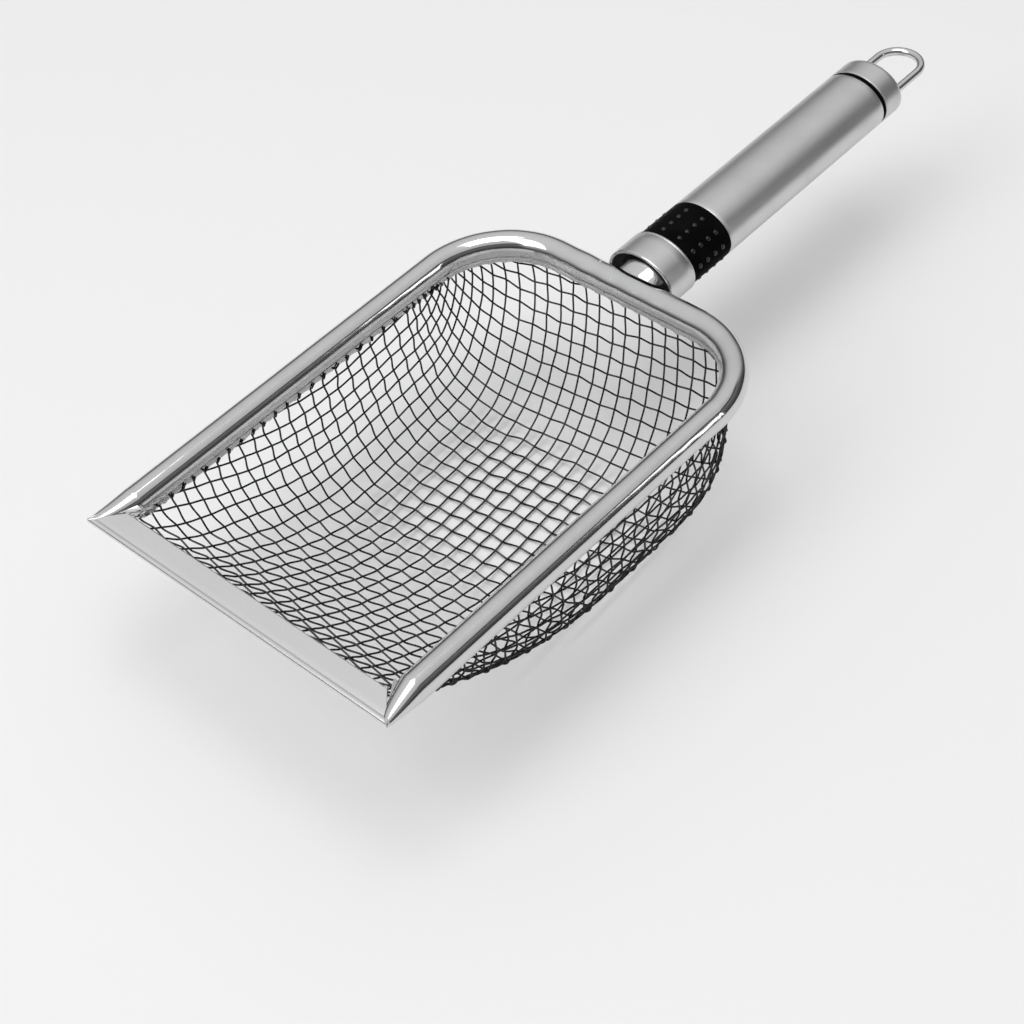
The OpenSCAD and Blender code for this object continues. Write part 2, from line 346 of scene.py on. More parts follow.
def cut_ends(lines, seed):
    """Short wire ends bent over the seam along the two side rims."""
    rng = np.random.default_rng(seed)
    hooks = []

    def add_hook(side, y, slant, path):
        # a path point is (in from the rim's centre line, up, share of the slant)
        hooks.append(([(side * (SIDE_X - u), y + slant * k, z) for u, z, k in path],
                      [(0, 0, 0)] * len(path)))

    for line, _ in lines:
        for x, y, _ in (line[0], line[-1]):
            if abs(x) < SIDE_X - 4.2 or not PINCH_L + 3 < y < BEND_Y + 4:
                continue
            side = math.copysign(1, x)
            slant = rng.uniform(-1.6, 1.6)
            tall = rng.uniform(0.5, 1.0)
            fold = -5.1
            path = [(2.3, -5.7, 0), (2.9, -6.0, 0.05), (3.55, -5.75, 0.15), (3.8, fold, 0.3),
                    (3.9, fold + 0.8 * tall, 0.6), (3.98, fold + 1.6 * tall, 1.0)]
            add_hook(side, y, slant, path)
            if rng.random() < 0.55:
                add_hook(side, y, -slant * 0.9, [(3.7, -5.5, -0.4), (3.95, -4.6, 0.2), (4.0, -3.9, 0.9)])
    return hooks


# ---------------------------------------------------------------- geometry node trees

def new_tree(name, sockets):
    """An empty Geometry Nodes tree with the named inputs after its geometry."""
    tree = bpy.data.node_groups.new(name, "GeometryNodeTree")
    tree.interface.new_socket("Geometry", in_out="INPUT", socket_type="NodeSocketGeometry")
    for label, kind, value in sockets:
        made = tree.interface.new_socket(label, in_out="INPUT", socket_type=kind)
        if value is not None:
            made.default_value = value
    tree.interface.new_socket("Geometry", in_out="OUTPUT", socket_type="NodeSocketGeometry")
    return tree


def join_sockets(tree, pairs):
    """Links each (output, input) pair."""
    for start, end in pairs:
        tree.links.new(start, end)


def half_of(tree):
    """A node that halves its first input."""
    node = tree.nodes.new("ShaderNodeMath")
    node.operation = "MULTIPLY"
    node.inputs[1].default_value = 0.5
    return node


def stored_vector(tree, name):
    """A node that reads a vector kept on each point."""
    node = tree.nodes.new("GeometryNodeInputNamedAttribute")
    node.data_type = "FLOAT_VECTOR"
    node.inputs["Name"].default_value = name
    return node


def wire_tree():
    """Points joined by edges become round wire, pushed along a stored crimp direction."""
    name = "wire_from_path"
    if name in bpy.data.node_groups:
        return bpy.data.node_groups[name]
    tree = new_tree(name, [("Diameter", "NodeSocketFloat", 0.0006), ("Crimp", "NodeSocketFloat", 0.0),
                           ("Sides", "NodeSocketInt", 8), ("Finish", "NodeSocketMaterial", None)])
    n = tree.nodes
    given, out = n.new("NodeGroupInput"), n.new("NodeGroupOutput")
    stored = stored_vector(tree, "crimp_way")
    scale = n.new("ShaderNodeVectorMath")
    scale.operation = "SCALE"
    push = n.new("GeometryNodeSetPosition")
    curve = n.new("GeometryNodeMeshToCurve")
    half = half_of(tree)
    ring = n.new("GeometryNodeCurvePrimitiveCircle")
    skin = n.new("GeometryNodeCurveToMesh")
    skin.inputs["Fill Caps"].default_value = True
    real = n.new("GeometryNodeRealizeInstances")
    paint = n.new("GeometryNodeSetMaterial")
    join_sockets(tree, (
        (stored.outputs["Attribute"], scale.inputs[0]), (given.outputs["Crimp"], scale.inputs["Scale"]),
        (given.outputs["Geometry"], push.inputs["Geometry"]), (scale.outputs[0], push.inputs["Offset"]),
        (push.outputs[0], curve.inputs["Mesh"]), (given.outputs["Diameter"], half.inputs[0]),
        (half.outputs[0], ring.inputs["Radius"]), (given.outputs["Sides"], ring.inputs["Resolution"]),
        (curve.outputs[0], skin.inputs["Curve"]), (ring.outputs[0], skin.inputs["Profile Curve"]),
        (skin.outputs[0], real.inputs[0]), (real.outputs[0], paint.inputs["Geometry"]),
        (given.outputs["Finish"], paint.inputs["Material"]), (paint.outputs[0], out.inputs[0])))
    return tree


def bump_tree():
    """A low dome on every point, standing on its stored facing direction."""
    tree = new_tree("domes_on_points", [("Diameter", "NodeSocketFloat", 0.0018),
                                        ("Height", "NodeSocketFloat", 0.0005),
                                        ("Finish", "NodeSocketMaterial", None)])
    n = tree.nodes
    given, out = n.new("NodeGroupInput"), n.new("NodeGroupOutput")
    points = n.new("GeometryNodeMeshToPoints")
    ball = n.new("GeometryNodeMeshUVSphere")
    ball.inputs["Segments"].default_value = 20
    ball.inputs["Rings"].default_value = 12
    ball.inputs["Radius"].default_value = 1.0
    half = half_of(tree)
    size = n.new("ShaderNodeCombineXYZ")
    facing = stored_vector(tree, "facing")
    turn = n.new("FunctionNodeAlignRotationToVector")
    turn.axis = "Z"
    spread = n.new("GeometryNodeInstanceOnPoints")
    real = n.new("GeometryNodeRealizeInstances")
    paint = n.new("GeometryNodeSetMaterial")
    join_sockets(tree, (
        (given.outputs["Geometry"], points.inputs["Mesh"]), (given.outputs["Diameter"], half.inputs[0]),
        (half.outputs[0], size.inputs["X"]), (half.outputs[0], size.inputs["Y"]),
        (given.outputs["Height"], size.inputs["Z"]), (facing.outputs["Attribute"], turn.inputs["Vector"]),
        (points.outputs[0], spread.inputs["Points"]), (ball.outputs[0], spread.inputs["Instance"]),
        (turn.outputs[0], spread.inputs["Rotation"]), (size.outputs[0], spread.inputs["Scale"]),
        (spread.outputs[0], real.inputs[0]), (real.outputs[0], paint.inputs["Geometry"]),
        (given.outputs["Finish"], paint.inputs["Material"]), (paint.outputs[0], out.inputs[0])))
    return tree


def run_tree(piece, tree, values):
    """Adds the tree as a modifier, sets its inputs by identifier, and bakes the result."""
    step = piece.modifiers.new(tree.name, "NODES")
    step.node_group = tree
    names = {s.name: s.identifier for s in tree.interface.items_tree if s.in_out == "INPUT"}
    for label, value in values.items():
        step[names[label]] = value
    piece.update_tag()
    bake(piece)


def path_object(name, lines):
    """A mesh of open edge paths in the row frame, each point with its crimp direction in metres."""
    points, offsets, edges = [], [], []
    for line, offset in lines:
        start = len(points)
        points += line
        offsets += offset
        edges += [(start + k, start + k + 1) for k in range(len(line) - 1)]
    mesh = bpy.data.meshes.new(name)
    mesh.from_pydata([tuple(p) for p in to_row(points)], edges, [])
    stored = mesh.attributes.new("crimp_way", "FLOAT_VECTOR", "POINT")
    stored.data.foreach_set("vector", (np.array(offsets, float) * MM).ravel())
    mesh.update()
    piece = bpy.data.objects.new(name, mesh)
    bpy.context.scene.collection.objects.link(piece)
    return piece


# ---------------------------------------------------------------- shader groups

def new_group(name, given, made):
    """A shader group with its inputs and outputs, and its two end nodes."""
    group = bpy.data.node_groups.new(name, "ShaderNodeTree")
    for label, kind, value in given:
        socket = group.interface.new_socket(label, in_out="INPUT", socket_type=kind)
        if value is not None:
            socket.default_value = value
    for label, kind in made:
        group.interface.new_socket(label, in_out="OUTPUT", socket_type=kind)
    return group, group.nodes.new("NodeGroupInput"), group.nodes.new("NodeGroupOutput")


def math_node(tree, operation, a, b=None, clamp=False):
    """A math node over numbers or sockets; gives its output."""
    node = tree.nodes.new("ShaderNodeMath")
    node.operation = operation
    node.use_clamp = clamp
    for k, value in enumerate((a, b)):
        if value is None:
            continue
        if isinstance(value, (int, float)):
            node.inputs[k].default_value = value
        else:
            tree.links.new(value, node.inputs[k])
    return node.outputs[0]


def grain_group():
    """Fine directional or even grain: a mask around one half, and the same as a height."""
    if "metal_grain" in bpy.data.node_groups:
        return bpy.data.node_groups["metal_grain"]
    group, given, out = new_group(
        "metal_grain",
        [("Coordinates", "NodeSocketVector", None), ("Stretch", "NodeSocketVector", (1, 1, 1)),
         ("Scale", "NodeSocketFloat", 900.0), ("Detail", "NodeSocketFloat", 4.0)],
        [("Mask", "NodeSocketFloat"), ("Height", "NodeSocketFloat")])
    n, l = group.nodes, group.links
    pull = n.new("ShaderNodeVectorMath")
    pull.operation = "MULTIPLY"
    noise = n.new("ShaderNodeTexNoise")
    noise.inputs["Roughness"].default_value = 0.6
    l.new(given.outputs["Coordinates"], pull.inputs[0])
    l.new(given.outputs["Stretch"], pull.inputs[1])
    l.new(pull.outputs[0], noise.inputs["Vector"])
    l.new(given.outputs["Scale"], noise.inputs["Scale"])
    l.new(given.outputs["Detail"], noise.inputs["Detail"])
    l.new(noise.outputs["Fac"], out.inputs["Mask"])
    l.new(noise.outputs["Fac"], out.inputs["Height"])
    return group


def scratch_group():
    """Sparse hairline scratches in two directions: 0 clean, 1 scratched."""
    if "hairline_scratches" in bpy.data.node_groups:
        return bpy.data.node_groups["hairline_scratches"]
    group, given, out = new_group(
        "hairline_scratches",
        [("Coordinates", "NodeSocketVector", None), ("Scale", "NodeSocketFloat", 260.0),
         ("Threshold", "NodeSocketFloat", 0.66)],
        [("Mask", "NodeSocketFloat")])
    n, l = group.nodes, group.links
    masks = []
    for turn, stretch in (((0.3, 0.2, 0.5), (1, 14, 14)), ((-0.4, 0.5, -0.9), (16, 1, 16))):
        place = n.new("ShaderNodeMapping")
        place.inputs["Rotation"].default_value = turn
        place.inputs["Scale"].default_value = stretch
        noise = n.new("ShaderNodeTexNoise")
        noise.inputs["Detail"].default_value = 1.0
        l.new(given.outputs["Coordinates"], place.inputs["Vector"])
        l.new(place.outputs[0], noise.inputs["Vector"])
        l.new(given.outputs["Scale"], noise.inputs["Scale"])
        over = math_node(group, "SUBTRACT", noise.outputs["Fac"], given.outputs["Threshold"])
        masks.append(math_node(group, "MULTIPLY", over, 16.0, clamp=True))
    l.new(math_node(group, "MAXIMUM", masks[0], masks[1]), out.inputs["Mask"])
    return group


def smudge_group():
    """Soft patches from handling and cleaning, 0 clean to 1 marked."""
    if "handling_patches" in bpy.data.node_groups:
        return bpy.data.node_groups["handling_patches"]
    group, given, out = new_group(
        "handling_patches",
        [("Coordinates", "NodeSocketVector", None), ("Scale", "NodeSocketFloat", 60.0),
         ("Sharpness", "NodeSocketFloat", 2.5)],
        [("Mask", "NodeSocketFloat")])
    n, l = group.nodes, group.links
    noise = n.new("ShaderNodeTexNoise")
    noise.inputs["Detail"].default_value = 5.0
    noise.inputs["Distortion"].default_value = 0.4
    l.new(given.outputs["Coordinates"], noise.inputs["Vector"])
    l.new(given.outputs["Scale"], noise.inputs["Scale"])
    lowered = math_node(group, "SUBTRACT", noise.outputs["Fac"], 0.42)
    l.new(math_node(group, "MULTIPLY", lowered, given.outputs["Sharpness"], clamp=True), out.inputs["Mask"])
    return group


def place_group(tree, group, **values):
    """Puts a group in a material, with its inputs set or linked by name."""
    node = tree.nodes.new("ShaderNodeGroup")
    node.node_tree = group
    for label, value in values.items():
        socket = node.inputs[label]
        if isinstance(value, bpy.types.NodeSocket):
            tree.links.new(value, socket)
        else:
            socket.default_value = value
    return node


def mix_colour(tree, mask, first, second):
    """First colour where the mask is 0, second where it is 1."""
    node = tree.nodes.new("ShaderNodeMix")
    node.data_type = "RGBA"
    tree.links.new(mask, node.inputs[0])
    node.inputs[6].default_value = (*first, 1)
    node.inputs[7].default_value = (*second, 1)
    return node.outputs[2]


def range_of(tree, mask, low, high):
    """The mask stretched from low to high."""
    node = tree.nodes.new("ShaderNodeMapRange")
    tree.links.new(mask, node.inputs["Value"])
    node.inputs["To Min"].default_value = low
    node.inputs["To Max"].default_value = high
    return node.outputs[0]


def start_material(label):
    """A new material with its tree, shader and object coordinates, or the one that is already made.

    The prefix keeps it apart from the frame's own materials, which are named after the record's slots.
    """
    name = "scoop_" + label
    if name in bpy.data.materials:
        return bpy.data.materials[name], None, None, None
    material = bpy.data.materials.new(name)
    material.use_nodes = True
    tree = material.node_tree
    shader = tree.nodes["Principled BSDF"]
    coordinates = tree.nodes.new("ShaderNodeTexCoord").outputs["Object"]
    return material, tree, shader, coordinates


def add_bump(tree, shader, height, strength, distance):
    """Fine relief from a height socket."""
    bump = tree.nodes.new("ShaderNodeBump")
    bump.inputs["Strength"].default_value = strength
    bump.inputs["Distance"].default_value = distance
    tree.links.new(height, bump.inputs["Height"])
    tree.links.new(bump.outputs["Normal"], shader.inputs["Normal"])


def metal(name, colour, worn, rough, grain_scale, stretch, bump, patch_scale, scratch):
    """Steel with grain, patches and hairlines.

    worn is the marked parts' share of the colour, rough is (clean, marked), bump is (strength, distance).
    """
    material, tree, shader, at = start_material(name)
    if tree is None:
        return material
    shader.inputs["Metallic"].default_value = 1.0
    grain = place_group(tree, grain_group(), Coordinates=at, Stretch=stretch, Scale=grain_scale)
    patch = place_group(tree, smudge_group(), Coordinates=at, Scale=patch_scale)
    lines = place_group(tree, scratch_group(), Coordinates=at)
    grain_share, patch_share = 0.55, 0.6
    half = math_node(tree, "MULTIPLY", grain.outputs["Mask"], grain_share)
    mask = math_node(tree, "MULTIPLY_ADD", patch.outputs["Mask"], patch_share)
    tree.links.new(half, mask.node.inputs[2])
    dull = tuple(v * worn for v in colour)
    tree.links.new(mix_colour(tree, mask, colour, dull), shader.inputs["Base Color"])
    clean = range_of(tree, mask, rough[0], rough[1])
    marks = math_node(tree, "MULTIPLY", lines.outputs["Mask"], scratch)
    tree.links.new(math_node(tree, "ADD", clean, marks), shader.inputs["Roughness"])
    add_bump(tree, shader, grain.outputs["Height"], bump[0], bump[1])
    return material


def finish_colour(name):
    """A colour from the finishes panel."""
    return tuple(getattr(bpy.context.scene.scoop_finishes, name))


def polished_steel():
    """Mirror-bright rim, loop and neck."""
    return metal("polished_steel", finish_colour("polished"), worn=0.86, rough=(0.045, 0.14),
                 grain_scale=420.0, stretch=(1, 1, 1), bump=(0.05, 0.00006), patch_scale=45.0, scratch=0.12)


def satin_steel():
    """Handle steel, its grain drawn out along the handle."""
    return metal("satin_steel", finish_colour("satin"), worn=0.84, rough=(0.30, 0.42),
                 grain_scale=1500.0, stretch=(1, 0.12, 1), bump=(0.18, 0.00006),
                 patch_scale=70.0, scratch=0.05)


def lip_steel():
    """Smoother steel of the flat lip, its paler colour a painted highlight for the lip's upward face."""
    # the paler colour paints the light falling on the lip's upward face
    return metal("lip_steel", finish_colour("lip"), worn=0.93, rough=(0.20, 0.28),
                 grain_scale=420.0, stretch=(0.3, 1, 1), bump=(0.02, 0.00004), patch_scale=40.0, scratch=0.06)


def wire_steel():
    """Dark drawn wire with subdued edges."""
    made = metal("wire_steel", finish_colour("wire"), worn=0.7, rough=(0.2, 0.36),
                 grain_scale=1600.0, stretch=(1, 1, 1), bump=(0.1, 0.00003), patch_scale=220.0, scratch=0.1)
    made.node_tree.nodes["Principled BSDF"].inputs["Specular Tint"].default_value = (0.4, 0.4, 0.4, 1)
    return made


def weld_steel():
    """Rim steel, a little darker and discoloured."""
    darker = tuple(v * 0.9 for v in finish_colour("polished"))
    return metal("weld_steel", darker, worn=0.45, rough=(0.16, 0.42),
                 grain_scale=900.0, stretch=(1, 1, 1), bump=(0.3, 0.0001), patch_scale=400.0, scratch=0.1)


def rubber(name="black_rubber", ior=1.04):
    """Black rubber, its shine set by the index of refraction."""
    material, tree, shader, at = start_material(name)
    if tree is None:
        return material
    c = finish_colour("rubber")
    grain = place_group(tree, grain_group(), Coordinates=at, Scale=2600.0, Detail=3.0)
    patch = place_group(tree, smudge_group(), Coordinates=at, Scale=90.0)
    tree.links.new(mix_colour(tree, patch.outputs["Mask"], c, tuple(v * 1.8 + 0.001 for v in c)),
                   shader.inputs["Base Color"])
    tree.links.new(range_of(tree, patch.outputs["Mask"], 0.30, 0.44), shader.inputs["Roughness"])
    shader.inputs["IOR"].default_value = ior
    add_bump(tree, shader, grain.outputs["Height"], 0.25, 0.00006)
    return material


def grey_plastic():
    """Moulded grey plastic of the inner plugs."""
    material, tree, shader, at = start_material("grey_plastic")
    if tree is None:
        return material
    grain = place_group(tree, grain_group(), Coordinates=at, Scale=1800.0)
    patch = place_group(tree, smudge_group(), Coordinates=at, Scale=120.0)
    tree.links.new(mix_colour(tree, patch.outputs["Mask"], (0.10, 0.10, 0.11), (0.15, 0.15, 0.16)),
                   shader.inputs["Base Color"])
    tree.links.new(range_of(tree, grain.outputs["Mask"], 0.45, 0.65), shader.inputs["Roughness"])
    add_bump(tree, shader, grain.outputs["Height"], 0.2, 0.00008)
    return material


# ---------------------------------------------------------------- settings

FACTOR = {"min": 0.0, "max": 1.0}


class SCOOP_PG_sizes(bpy.types.PropertyGroup):
    """Sizes that a maker would change without touching the frame."""

    mesh_pitch: bpy.props.FloatProperty(
        name="Mesh Pitch", description="Distance between neighbouring wires", default=5.7 * MM,
        min=4 * MM, max=9 * MM, unit="LENGTH", precision=5)
    wire_d: bpy.props.FloatProperty(
        name="Wire Diameter", description="Diameter of the woven wires", default=0.65 * MM,
        min=0.4 * MM, max=1 * MM, unit="LENGTH", precision=5)
    long_crimp: bpy.props.FloatProperty(
        name="Lengthwise Crimp", description="How far lengthwise wires weave up and down, in wire diameters",
        default=0.2, min=0.0, max=1.0)
    cross_crimp: bpy.props.FloatProperty(
        name="Crosswise Crimp", description="How far crosswise wires weave up and down, in wire diameters",
        default=0.85, min=0.0, max=1.2)
    bump_d: bpy.props.FloatProperty(
        name="Bump Diameter", description="Diameter of the grip ring's bumps", default=1.8 * MM,
        min=1 * MM, max=3 * MM, unit="LENGTH", precision=5)
    bump_h: bpy.props.FloatProperty(
        name="Bump Height", description="Height of the grip ring's bumps", default=0.5 * MM,
        min=0.2 * MM, max=1 * MM, unit="LENGTH", precision=5)


class SCOOP_PG_finishes(bpy.types.PropertyGroup):
    """Colours of the finishes."""

    polished: bpy.props.FloatVectorProperty(
        name="Polished Steel", description="Colour of the rim, the loop and the neck", size=3,
        subtype="COLOR", default=(0.70, 0.70, 0.705), **FACTOR)
    satin: bpy.props.FloatVectorProperty(
        name="Satin Steel", description="Colour of the handle", size=3,
        subtype="COLOR", default=(0.69, 0.69, 0.692), **FACTOR)
    # paler than the other steels: a painted highlight for the lip's upward face
    lip: bpy.props.FloatVectorProperty(
        name="Lip Steel", description="Colour of the flat front lip", size=3,
        subtype="COLOR", default=(0.80, 0.80, 0.80), **FACTOR)
    wire: bpy.props.FloatVectorProperty(
        name="Wire", description="Colour of the woven wires", size=3,
        subtype="COLOR", default=(0.065, 0.065, 0.067), **FACTOR)
    rubber: bpy.props.FloatVectorProperty(
        name="Rubber", description="Colour of the grip ring", size=3,
        subtype="COLOR", default=(0.0035, 0.0035, 0.0038), **FACTOR)


# ---------------------------------------------------------------- operators

class SCOOP_OT_cloth(bpy.types.Operator):
    """Weaves the basket: lengthwise and crosswise wires on an even net"""

    bl_idname = "scoop.cloth"
    bl_label = "Wire Basket"

    def execute(self, context):
        sizes = context.scene.scoop_sizes
        basket = Basket()
        d = sizes.wire_d / MM
        material = wire_steel()
        pieces = []
        for name, lengthwise, crimp, seed in (("cloth_wires_lengthwise", True, sizes.long_crimp, 3),
                                              ("cloth_wires_crosswise", False, sizes.cross_crimp, 4)):
            lines = basket.wires(sizes.mesh_pitch / MM, lengthwise, CELL_STEPS, d, seed)
            if not lengthwise:
                lines += cut_ends(lines, 9)
            piece = path_object(name, lines)
            run_tree(piece, wire_tree(), {"Diameter": sizes.wire_d, "Crimp": crimp,
                                          "Sides": WIRE_SIDES, "Finish": material})
            dress(piece, material)
            pieces.append(piece)
        for piece in pieces:
            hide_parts("mesh_basket")
        return {"FINISHED"}


def rim_stations():
    """Centre, tangent, inward normal and distance along the rim, from the left tip to the right tip."""
    spots = []
    for y in np.linspace(PINCH_L, BEND_Y, 220):
        spots.append((-SIDE_X, y, (0, 1), (1, 0)))
    for a in np.linspace(0, math.pi / 2, 72)[1:]:
        c, s = math.cos(a), math.sin(a)
        spots.append((-BEND_X - BEND_R * c, BEND_Y + BEND_R * s, (s, c), (c, -s)))
    for x in np.linspace(-BEND_X, BEND_X, 100)[1:]:
        spots.append((x, BACK_Y, (1, 0), (0, -1)))
    for a in np.linspace(0, math.pi / 2, 72)[1:]:
        c, s = math.cos(a), math.sin(a)
        spots.append((BEND_X + BEND_R * s, BEND_Y + BEND_R * c, (c, -s), (-s, -c)))
    for y in np.linspace(BEND_Y, PINCH_L, 220)[1:]:
        spots.append((SIDE_X, y, (0, -1), (-1, 0)))
    return spots


def rim_section():
    """Section of the rolled rim in (inward, up) millimetres: a round bead with a folded skirt below.

    Also gives how many of its points belong to the bead.
    """
    bead = 50
    points = []
    for a in np.radians(np.linspace(-76, -405, bead)):
        points.append((RIM_R * math.cos(a), RIM_R * math.sin(a)))
    u = RIM_R * math.cos(math.radians(-45))
    w = RIM_R * math.sin(math.radians(-45))
    low = -5.3
    skirt = [(u + 0.12, w - 0.6), (u + 0.1, w - 1.2), (u + 0.02, low + 0.15), (u - 0.25, low),
             (u - 0.5, low + 0.15), (u - 0.55, -3.2), (1.9, -2.6), (1.3, -3.2)]
    return np.array(points + skirt), bead


class SCOOP_OT_rim(bpy.types.Operator):
    """Rolls the rim from one pinched corner round the back to the other"""

    bl_idname = "scoop.rim"
    bl_label = "Rim"

    def execute(self, context):
        section, bead = rim_section()
        pitch = context.scene.scoop_sizes.mesh_pitch / MM
        rng = np.random.default_rng(11)
        rings = []
        run = 0.0
        last = None
        spots = rim_stations()
        waves = [(rng.uniform(9, 34), rng.uniform(0, 6.28), rng.uniform(0.010, 0.045)) for _ in range(9)]
        dents = rng.uniform(0.4, 1.0, 400)
        for x, y, tangent, inward in spots:
            if last is not None:
                run += math.hypot(x - last[0], y - last[1])
            last = (x, y)
            wobble = sum(h * math.sin(2 * math.pi * run / w + p) for w, p, h in waves)
            cell = run / pitch
            dent = dents[int(cell) % 400]
            wobble *= 0.15 if tangent[0] == 0 else (1.0 if tangent[1] == 0 else 0.5)
            press = math.exp(-((cell % 1.0 - 0.5) / 0.17) ** 2) * dent
            ring = []
            for k, (u, w) in enumerate(section):
                if k >= bead:
                    if k <= bead + 4:
                        u += 0.2 * press
                        if k >= bead + 2:
                            w -= 0.5 * press
                else:
                    angle = math.degrees(math.atan2(w, u))
                    u += wobble * math.cos(math.radians(angle)) * 0.6
                    w += wobble * math.sin(math.radians(angle)) * 0.6
                    if -52 < angle < -20:
                        u += 0.16 * press * max(0.0, 1 - abs(angle + 42) / 24)
                ring.append((x + inward[0] * u, y + inward[1] * u, w))
            rings.append(ring)
        first, final = rings[0], rings[-1]
        rings = self.tip(first, -1)[::-1] + rings + self.tip(final, 1)
        piece = loft("rim_bead_rolled", rings, sharp=50)
        dress(piece, polished_steel())
        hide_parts("rim_bead", "pinch_left", "pinch_right")
        for side, name in ((-1, "left"), (1, "right")):
            facet = self.facet("rim_corner_facet_" + name, side)
            dress(facet, polished_steel())
            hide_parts("pinch_" + name)
        return {"FINISHED"}

    def facet(self, name, side):
        """The bright three-cornered fold between the rim's end and the lip's mitre."""
        thick = 0.45
        first_y, length = 1.0, 12.6
        corner_x = HALF_W - 0.9
        outer_lean, inner_lean = 5.2, 9.8
        across = np.linspace(0, 1, 9)
        rings = []
        for t in np.linspace(0, 1, 16):
            y = first_y + length * t
            outer = corner_x - outer_lean * t
            inner = corner_x - inner_lean * t ** 0.9
            crest = LIP_TOP + 0.1 + 1.5 * t - 0.7 * t * t
            sag = LIP_TOP + 0.05 - 0.9 * t ** 2
            ring = []
            for s, lower in [(s, 0.0) for s in across] + [(s, thick) for s in across[::-1]]:
                height = crest + (sag - crest) * s ** 0.7
                ring.append((side * (outer + (inner - outer) * s), y, height - lower))
            rings.append(ring)
        return loft(name, rings, sharp=45)

    def tip(self, ring, side):
        """Rings from the round rim down to the flat sharp corner."""
        ring = np.array(ring)
        flat = LIP_TOP
        corner_y, corner_w, corner_t = 0.35, 1.4, 1.9
        rings = []
        for t in np.linspace(0, 1, 22)[1:]:
            y = PINCH_L * (1 - t) + corner_y * t
            keep = (1 - t) ** 0.9
            width = 2 * RIM_R * (1 - t) ** 0.62 + corner_w * t
            high = RIM_R * (1 - t) ** 1.15 + flat * (1 - (1 - t) ** 1.15)
            low = -RIM_R * (1 - t) ** 0.8 + (flat - corner_t) * (1 - (1 - t) ** 0.8)
            made = []
            for x, _, z in ring:
                u = abs(x) - (HALF_W - 2 * RIM_R)
                across = max(0.0, min(1.0, u / (2 * RIM_R)))
                up = (z + RIM_R) / (2 * RIM_R)
                up = max(-0.1 * keep, min(1.0, up))
                made.append((side * (HALF_W - width + width * across), y, low + (high - low) * up))
            rings.append(made)
        return rings


class SCOOP_OT_lip(bpy.types.Operator):
    """Folds the flat front lip, mitred into the rim, with a rolled hem along its edge"""

    bl_idname = "scoop.lip"
    bl_label = "Front Lip"

    def execute(self, context):
        r = HEM_D / 2
        top, under = LIP_TOP, LIP_TOP - 1.6
        section = []
        for a in np.radians(np.linspace(62, 288, 19)):
            section.append((r + r * math.cos(a), top - r + r * math.sin(a)))
        section += [(r + 0.85, under - 0.05), (r + 1.6, under), (LIP_W - 0.9, under)]
        section += [(LIP_W - 0.25, under + 0.2), (LIP_W, under + 0.8), (LIP_W - 0.15, top - 0.3)]
        section += [(LIP_W - 0.6, top), (LIP_W * 0.72, top), (LIP_W * 0.4, top - 0.06)]
        section += [(r + 1.35, top - 0.08), (r + 0.95, top - 0.22)]
        steps = np.linspace(-1, 1, 90)
        rings = []
        rng = np.random.default_rng(5)
        sway = rng.normal(0, 0.03, len(steps))
        sway = np.convolve(sway, np.ones(9) / 9, mode="same")
        for s, bend in zip(steps, sway):
            ring = []
            for y, z in section:
                reach = HALF_W - 0.35 - 0.93 * y
                ring.append((reach * s, y, z + bend * (y / LIP_W)))
            rings.append(ring)
        piece = loft("front_lip_folded", rings, sharp=24)
        dress(piece, lip_steel())
        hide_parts("front_lip")
        return {"FINISHED"}


def weld_bead(name, centre, radii, seed):
    """A lumpy closed bead."""
    rng = np.random.default_rng(seed)
    rows, columns = 16, 24
    shift = rng.uniform(0, 6.28, 6)
    rings = []
    for a in np.linspace(0.06, math.pi - 0.06, rows):
        ring = []
        for b in np.linspace(0, 2 * math.pi, columns, endpoint=False):
            round_lump = 0.05 * math.sin(3 * b + shift[0]) * math.sin(a)
            lump = 1 + round_lump + 0.04 * math.sin(5 * a + shift[1] + b)
            ring.append((centre[0] + radii[0] * lump * math.sin(a) * math.cos(b),
                         centre[1] + radii[1] * lump * math.sin(a) * math.sin(b),
                         centre[2] + radii[2] * lump * math.cos(a)))
        rings.append(ring)
    return loft(name, rings, sharp=60)


class SCOOP_OT_welds(bpy.types.Operator):
    """Puts weld beads at the lip's inner corners and at the neck, and a dimple on the back rim"""

    bl_idname = "scoop.welds"
    bl_label = "Welds"

    def execute(self, context):
        material = weld_steel()
        for k, node in enumerate(("weld_lip_left", "weld_lip_right", "weld_neck_left", "weld_neck_right")):
            low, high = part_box(node)
            centre = (Vector(low) + Vector(high)) / 2
            spot = (centre.x / MM, (centre.y - FRONT) / MM, (centre.z - LEVEL) / MM)
            radius = (high.x - low.x) / 2 / MM
            if "lip" in node:
                spot = (spot[0], spot[1] - 0.3, spot[2] - 0.5)
                piece = weld_bead(node + "_bead", spot, (radius * 0.85, radius * 0.6, radius * 0.5), 20 + k)
            else:
                piece = weld_bead(node + "_bead", spot, (radius, radius, radius * 0.95), 20 + k)
            dress(piece, material)
            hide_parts(node)
        dimple = weld_bead("weld_dimple", (-12.3, 182.3, RIM_R - 0.35), (0.8, 0.7, 0.5), 31)
        dress(dimple, material)
        return {"FINISHED"}


